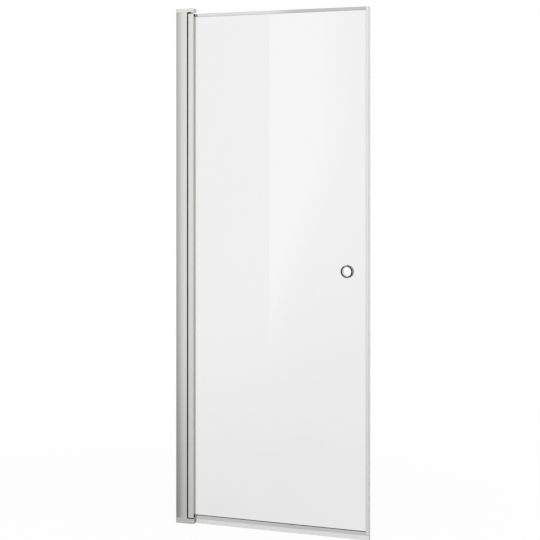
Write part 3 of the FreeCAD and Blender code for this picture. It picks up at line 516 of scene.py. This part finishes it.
# The level trims carry painted shade along X.
satin_rail = satin_aluminium(
    "satin_silver_rail", 0, dimmed(PLAIN_SATIN, RAIL_PAINTED_SHADE_TONE), painted_shade_x=RAIL_PAINTED_SHADE_X)
satin_top_trim = satin_aluminium(
    "satin_silver_top_trim", 0, dimmed(PLAIN_SATIN, TOP_TRIM_PAINTED_SHADE_TONE), painted_shade_x=TOP_TRIM_PAINTED_SHADE_X)
print("satin aluminium for", [node for node, slot in slot_of.items() if slot == "satin_silver"])

# %% [markdown]
# ## Lacquered castings
# The brackets at the post's ends are zinc castings, sprayed to match the profiles. Spray lacquer
# levels out into a fine orange peel, with tiny bright flakes of aluminium in it. Noise gives the peel
# as a bump, and the small cells of a Voronoi texture give the flakes as a change of tone.

# %% Cast finish
CAST_COLOR = (0.800, 0.803, 0.770, 1.0)
CAST_FLAKE_COLOR = (0.860, 0.862, 0.835, 1.0)
CAST_METALLIC = 0.86
CAST_ROUGHNESS = 0.30
PEEL_SCALE = 900.0
PEEL_DEPTH = 0.00003
PEEL_ROUGHENS = 0.08
FLAKE_SCALE = 5200.0
FLAKE_CORE = 0.10
FLAKE_RIM = 0.45
FLAKE_SHARE = 0.6
# Painted shade at the castings' foot, toward the floor.
CAST_FOOT_SHADE_TONE = 0.80

cast_silver, cast = new_finish("cast_silver")
peel = cast.noise((PEEL_SCALE,) * 3, detail=3.0)
flakes = cast.node("ShaderNodeTexVoronoi", {}, {"Vector": cast.place(), "Scale": FLAKE_SCALE})
bright_flake = cast.ramp(flakes, FLAKE_CORE, FLAKE_RIM, 1.0, 0.0)
flaked = cast.blend(bright_flake * FLAKE_SHARE, CAST_COLOR, CAST_FLAKE_COLOR)
# The castings' color carries painted shade toward the floor.
cast.surface(cast.node("ShaderNodeBsdfPrincipled", {}, {
    "Base Color": painted_foot_shade(cast, flaked, CAST_FOOT_SHADE_TONE),
    "Metallic": CAST_METALLIC,
    "Roughness": CAST_ROUGHNESS + peel * PEEL_ROUGHENS,
    "Normal": cast.bump(peel, PEEL_DEPTH),
}))
print("cast finish for", [node for node, slot in slot_of.items() if slot == "cast_silver"])

# %% [markdown]
# ## Polished chrome
# The ring pull is plated and polished, the one mirror on the door. Its roughness is exactly zero, so it
# shows the dark cards of the room as a black outline, the way polished rings look in a studio. Real
# chrome that is used by wet hands is never quite clean, and the plating waves a little: smudges dim
# its color here and there, and a bump too shallow to feel bends what it mirrors.

# %% Chrome finish
CHROME_COLOR = (0.86, 0.87, 0.88, 1.0)
CHROME_SMUDGED_COLOR = (0.80, 0.81, 0.82, 1.0)
SMUDGE_CLOUDS = (160, 160, 60)
SMUDGE_FROM = 0.50
SMUDGE_TO = 0.75
WAVES = 220.0
WAVE_DEPTH = 0.00002

chrome, plating = new_finish("chrome")
smudge = plating.ramp(plating.noise(SMUDGE_CLOUDS, detail=4.0), SMUDGE_FROM, SMUDGE_TO)
wave = plating.noise((WAVES,) * 3)
plating.surface(plating.node("ShaderNodeBsdfPrincipled", {}, {
    "Base Color": plating.blend(smudge, CHROME_COLOR, CHROME_SMUDGED_COLOR),
    "Metallic": 1.0,
    "Roughness": 0.0,
    "Normal": plating.bump(wave, WAVE_DEPTH),
}))
print("chrome for", [node for node, slot in slot_of.items() if slot == "chrome"])

# %% [markdown]
# ## Turned stainless steel
# Screws, grub screws and pins are turned on a lathe, which leaves rings about their own line. True
# rings would need a finish for each way that a screw points, and they are too fine to be told apart at
# this size. So a fine noise, alike in all directions, stands for the marks, and larger clouds stain it.

# %% Stainless finish
STEEL_COLOR = (0.66, 0.655, 0.645, 1.0)
STEEL_DARK_COLOR = (0.50, 0.495, 0.485, 1.0)
STEEL_ROUGHNESS = 0.24
MARK_GRAINS = 2600.0
MARK_DEPTH = 0.00002
MARKS_ROUGHEN = 0.15
STAIN_CLOUDS = 120.0
STAIN_FROM = 0.45
STAIN_TO = 0.80
STAIN_SHARE = 0.6

stainless, steel = new_finish("stainless")
marks = steel.noise((MARK_GRAINS,) * 3, detail=4.0)
stain = steel.ramp(steel.noise((STAIN_CLOUDS,) * 3, detail=3.0), STAIN_FROM, STAIN_TO)
steel.surface(steel.node("ShaderNodeBsdfPrincipled", {}, {
    "Base Color": steel.blend(stain * STAIN_SHARE, STEEL_COLOR, STEEL_DARK_COLOR),
    "Metallic": 1.0,
    "Roughness": STEEL_ROUGHNESS + marks * MARKS_ROUGHEN,
    "Normal": steel.bump(marks, MARK_DEPTH),
}))
print("steel for", [node for node, slot in slot_of.items() if slot == "stainless"])

# %% [markdown]
# ## Toughened glass
# The sheet is 6 mm of clear float glass with polished faces. It takes a little of the light that
# passes, so the white behind it turns a pale grey, and wiping leaves faint streaks that lift its tone
# by a trace. Painted shade, standing in for the darker ground that the glass reflects, dims the lower
# part, higher up on the closing side than at the hinges. A shadow through real glass is light too.
# The renderer would make it dark, so for shadow rays alone the glass gives way to a transparent shader of
# nearly the same tone.

# %% Glass finish
GLASS_COLOR = (0.852, 0.855, 0.853, 1.0)
GLASS_WIPED_COLOR = (0.860, 0.863, 0.861, 1.0)
GLASS_SHADOW_COLOR = (0.86, 0.87, 0.865, 1.0)
GLASS_IOR = 1.52
WIPE_CLOUDS = (5, 5, 1.6)
WIPE_FROM = 0.52
WIPE_TO = 0.80
# Painted shade on the glass: darker toward the floor, and higher up on the closing side.
GLASS_PAINTED_SHADE_TONE = 0.955
GLASS_SHADE_FULL_HEIGHT = 0.15
GLASS_SHADE_TOP_HEIGHT = 1.10
GLASS_SHADE_SLANT = 0.90
GLASS_SHADE_MIDDLE = 0.40

clear_glass, sheet_glass = new_finish("clear_glass")
wiped = sheet_glass.ramp(sheet_glass.noise(WIPE_CLOUDS, detail=4.0), WIPE_FROM, WIPE_TO)
wiped_color = sheet_glass.blend(wiped, GLASS_COLOR, GLASS_WIPED_COLOR)
sheet_spot = sheet_glass.spot()
# Painted shade that dims the lower glass, slanting up toward the closing side.
painted_shade_line = sheet_spot.out("Z") - (sheet_spot.out("X") - GLASS_SHADE_MIDDLE) * GLASS_SHADE_SLANT
glass_painted_shade = sheet_glass.ramp(painted_shade_line, GLASS_SHADE_FULL_HEIGHT, GLASS_SHADE_TOP_HEIGHT, GLASS_PAINTED_SHADE_TONE, 1.0)
glass_body = sheet_glass.node("ShaderNodeBsdfPrincipled", {}, {
    "Base Color": sheet_glass.dim(wiped_color, glass_painted_shade),
    "Roughness": 0.0,
    "IOR": GLASS_IOR,
    "Transmission Weight": 1.0,
})
see_through = sheet_glass.node("ShaderNodeBsdfTransparent", {}, {"Color": GLASS_SHADOW_COLOR})
shadow_ray = sheet_glass.node("ShaderNodeLightPath").out("Is Shadow Ray")
sheet_glass.surface(sheet_glass.node(
    "ShaderNodeMixShader", {}, {0: shadow_ray, 1: glass_body, 2: see_through}))
# Prints how high the painted shade on the glass reaches.
print("glass with a film up to", GLASS_SHADE_TOP_HEIGHT, "m at X", GLASS_SHADE_MIDDLE)

# %% [markdown]
# ## Rubber, nylon and soft PVC
# The small parts are moulded or extruded plastics, and each has its own skin. Rubber is matt with a
# dusty bloom. Nylon has a spark-eroded mould texture. The sweep and the magnet's sleeve are milky
# PVC, which lets some light in and scatters it, and painted shade darkens the sleeve's foot. One function
# makes
# them all: a tone, a second tone for bloom or dust, a roughness, and how fine and deep the skin is.

# %% Moulded finishes
# Painted shade at the foot of the magnet's sleeve.
SLEEVE_FOOT_SHADE_TONE = 0.87
MILKY_SCATTER = 0.15
SCATTER_REACH = 0.001
EVEN_SCATTER = (1.0, 1.0, 1.0)
SKIN_ROUGHENS = 0.10
DUST_CLOUDS = (30, 30, 9)
DUST_FROM = 0.40
DUST_TO = 0.75
DUST_SHARE = 0.5
DUST_ROUGHENS = 0.05


def moulded(name, color, dust, rough, grains, depth, scatter=0.0, gloss=0.5, foot_shade_tone=1.0):
    """Plastic or rubber with a skin of so many grains per metre and cloudy dust."""
    material, finish = new_finish(name)
    skin = finish.noise((grains,) * 3, detail=3.0)
    cloud = finish.ramp(finish.noise(DUST_CLOUDS, detail=5.0), DUST_FROM, DUST_TO)
    tone = finish.blend(cloud * DUST_SHARE, tuple(color) + (1.0,), tuple(dust) + (1.0,))
    # Painted shade toward the floor.
    if foot_shade_tone < 1.0:
        tone = painted_foot_shade(finish, tone, foot_shade_tone)
    finish.surface(finish.node("ShaderNodeBsdfPrincipled", {}, {
        "Base Color": tone,
        "Roughness": rough + skin * SKIN_ROUGHENS + cloud * DUST_ROUGHENS,
        "Specular IOR Level": gloss,
        "Subsurface Weight": scatter,
        "Subsurface Radius": EVEN_SCATTER,
        "Subsurface Scale": SCATTER_REACH,
        "Normal": finish.bump(skin, depth),
    }))
    return material


black_rubber = moulded(
    "black_rubber", color=(0.022, 0.022, 0.023), dust=(0.060, 0.060, 0.062),
    rough=0.55, grains=1500, depth=0.00004)
# A paler copy of the black rubber, for the lip over the bottom rail.
paler_rubber = moulded(
    "paler_rubber", color=(0.085, 0.085, 0.084), dust=(0.16, 0.16, 0.155),
    rough=0.62, grains=1500, depth=0.00004)
black_nylon = moulded(
    "black_nylon", color=(0.014, 0.014, 0.015), dust=(0.028, 0.028, 0.030),
    rough=0.50, grains=2200, depth=0.00003, gloss=0.2)
silver_plastic = moulded(
    "silver_plastic", color=(0.70, 0.705, 0.70), dust=(0.66, 0.665, 0.66),
    rough=0.40, grains=2400, depth=0.00002)
grey_gasket = moulded(
    "grey_gasket", color=(0.47, 0.48, 0.48), dust=(0.56, 0.56, 0.56),
    rough=0.58, grains=1600, depth=0.00003)
sweep_pvc = moulded(
    "frosted_pvc", color=(0.80, 0.80, 0.795), dust=(0.84, 0.84, 0.835),
    rough=0.36, grains=700, depth=0.00002, scatter=MILKY_SCATTER)
sleeve_pvc = moulded(
    "frosted_pvc_sleeve", color=(0.83, 0.83, 0.83), dust=(0.87, 0.87, 0.87),
    rough=0.36, grains=700, depth=0.00002, scatter=MILKY_SCATTER, foot_shade_tone=SLEEVE_FOOT_SHADE_TONE)
magnet = moulded(
    "magnet", color=(0.085, 0.080, 0.075), dust=(0.13, 0.125, 0.12),
    rough=0.60, grains=1300, depth=0.00003)
print("black and milky finishes for", [
    node for node, slot in slot_of.items() if "pvc" in slot or "black" in slot])

# %% [markdown]
# ## Clear plastic
# The bush and the washers that keep the metal rings off the glass are clear and slightly frosted, so
# they read as a thin pale line between chrome and glass.

# %% Clear plastic finish
CLEAR_COLOR = (0.80, 0.82, 0.83, 1.0)
CLEAR_FROSTED_COLOR = (0.88, 0.90, 0.91, 1.0)
CLEAR_ROUGHNESS = 0.22
CLEAR_IOR = 1.50
CLEAR_TRANSMISSION = 0.75
FROST_GRAINS = 1800.0
FROST_ROUGHENS = 0.15

clear_plastic, polycarbonate = new_finish("clear_plastic")
frost = polycarbonate.noise((FROST_GRAINS,) * 3)
polycarbonate.surface(polycarbonate.node("ShaderNodeBsdfPrincipled", {}, {
    "Base Color": polycarbonate.blend(frost, CLEAR_COLOR, CLEAR_FROSTED_COLOR),
    "Roughness": CLEAR_ROUGHNESS + frost * FROST_ROUGHENS,
    "IOR": CLEAR_IOR,
    "Transmission Weight": CLEAR_TRANSMISSION,
}))
print("clear plastic for", [node for node, slot in slot_of.items() if slot == "clear_plastic"])

# %% [markdown]
# ## Dressing the imported pieces
# Every piece keeps its solid and gets the finish of its slot. A few need their own version of it: the
# trims along the top and the bottom run level, the post and those trims are darker copies of the
# stile's finish, which is painted shade, the hinge side is a trace warmer than the rest, the magnet's
# sleeve is paler than the sweep, and the rubber lip over the bottom rail is paler than the post's seal.

# %% Finishes onto pieces
own_finish = {
    "top_trim": satin_top_trim,
    "bottom_rail": satin_rail,
    "closing_profile": satin_closing,
    "post_profile": satin_post,
    "rail_gasket": paler_rubber,
    "magnet_sleeve": sleeve_pvc,
}
finish_of = {
    "satin_silver": satin_stile,
    "cast_silver": cast_silver,
    "chrome": chrome,
    "stainless": stainless,
    "clear_glass": clear_glass,
    "black_rubber": black_rubber,
    "black_nylon": black_nylon,
    "silver_plastic": silver_plastic,
    "grey_gasket": grey_gasket,
    "frosted_pvc": sweep_pvc,
    "clear_plastic": clear_plastic,
    "magnet": magnet,
}
for name, piece in nodes.items():
    piece.data.materials.clear()
    piece.data.materials.append(own_finish.get(name, finish_of[slot_of[name]]))
print("dressed", len(nodes), "pieces")

# %% [markdown]
# ## The ring pull
# Two chromed rings clamp the glass between them: the front one has a sleeve that passes through the
# glass, and the back one is screwed onto it. Their edges are fully rounded. The solids slope those
# edges in two steps, which keeps them light, but a mirror finish shows every step as a band. So each
# ring is turned again here, as on a lathe: a half section with true arcs is spun about the pull's own
# line. A bevel on the solid would also round it, but the lathe gives even rows all the way round.

# %% Ring sections
RING_BORE = 0.0175
SLEEVE_RADIUS = 0.0190
OUTER_ROUND = 0.0036
INNER_ROUND = 0.0029
RING_WASHER = 0.0008
SLEEVE_GRIP = 0.0045
THREAD_PLAY = 0.0001
ARC_STEPS = 9
LATHE_STEPS = 128
SHARP_ANGLE = radians(35)


def quarter_arc(centre, radius, start):
    """Points of a quarter circle in the section, from the angle start onward."""
    turn = pi / 2 / ARC_STEPS
    return [
        (centre[0] + radius * cos(start + step * turn), centre[1] + radius * sin(start + step * turn))
        for step in range(ARC_STEPS + 1)
    ]


def ring_section(outer, foot_radius, foot, face, step):
    """Half section as (radius, depth): from the foot on its washer out to the rounded face and back.

    The bore starts at the face and ends at step, where the sleeve ends.
    """
    way = 1 if foot > face else -1
    outer_arc = quarter_arc((outer - OUTER_ROUND, OUTER_ROUND), OUTER_ROUND, 0)
    inner_arc = quarter_arc((RING_BORE + INNER_ROUND, INNER_ROUND), INNER_ROUND, pi / 2)
    rounded = [(radius, 2 * OUTER_ROUND - depth) for radius, depth in outer_arc]
    rounded += [(radius, 2 * INNER_ROUND - depth) for radius, depth in inner_arc]
    return (
        [(foot_radius, foot), (outer, foot)]
        + [(radius, face + way * depth) for radius, depth in rounded]
        + [(RING_BORE, step), (foot_radius, step)]
    )


def lathe(name, node, section):
    """Spin a section of (radius, depth along Y) about the middle of the node's box."""
    low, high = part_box(node)
    middle = Vector(((low[0] + high[0]) / 2, 0, (low[2] + high[2]) / 2))
    mesh = bpy.data.meshes.new(name)
    turning = bmesh.new()
    rim = [turning.verts.new(middle + Vector((radius, depth, 0))) for radius, depth in section]
    edges = [turning.edges.new((rim[i], rim[(i + 1) % len(rim)])) for i in range(len(rim))]
    bmesh.ops.spin(turning, geom=rim + edges, cent=middle, axis=(0, 1, 0), angle=2 * pi,
                   steps=LATHE_STEPS, use_merge=True, use_duplicate=False)
    bmesh.ops.recalc_face_normals(turning, faces=turning.faces)
    turning.to_mesh(mesh)
    turning.free()
    for face in mesh.polygons:
        face.use_smooth = True
    mesh.set_sharp_from_angle(angle=SHARP_ANGLE)
    piece = bpy.data.objects.new(name, mesh)
    bpy.context.scene.collection.objects.link(piece)
    return piece


# %% [markdown]
# ## Both rings in place
# Each ring stands on a thin clear washer, the front one outside the glass and the back one inside. The
# back ring is screwed over the end of the front ring's sleeve, so it is wider there by a little play.
# Their places come from the boxes of the glass and of the solids that they stand for, so the rings stay
# where the model has them.

# %% Front ring and back ring
glass_low, glass_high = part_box("glass_panel")
sleeve_end = glass_high[1] + RING_WASHER + SLEEVE_GRIP
for name, node, in_front in (
    ("ring_pull_front", "handle_ring_front", True),
    ("ring_pull_back", "handle_ring_back", False),
):
    low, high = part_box(node)
    outer = (high[0] - low[0]) / 2
    play = 0.0 if in_front else THREAD_PLAY
    foot = glass_low[1] - RING_WASHER if in_front else glass_high[1] + RING_WASHER
    face = low[1] if in_front else high[1]
    section = ring_section(outer, SLEEVE_RADIUS + play, foot, face, sleeve_end + play)
    ring = lathe(name, node, section)
    ring.data.materials.append(chrome)
    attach(ring, "leaf")
    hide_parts(node)
    print(name, "has", len(ring.data.polygons), "faces")
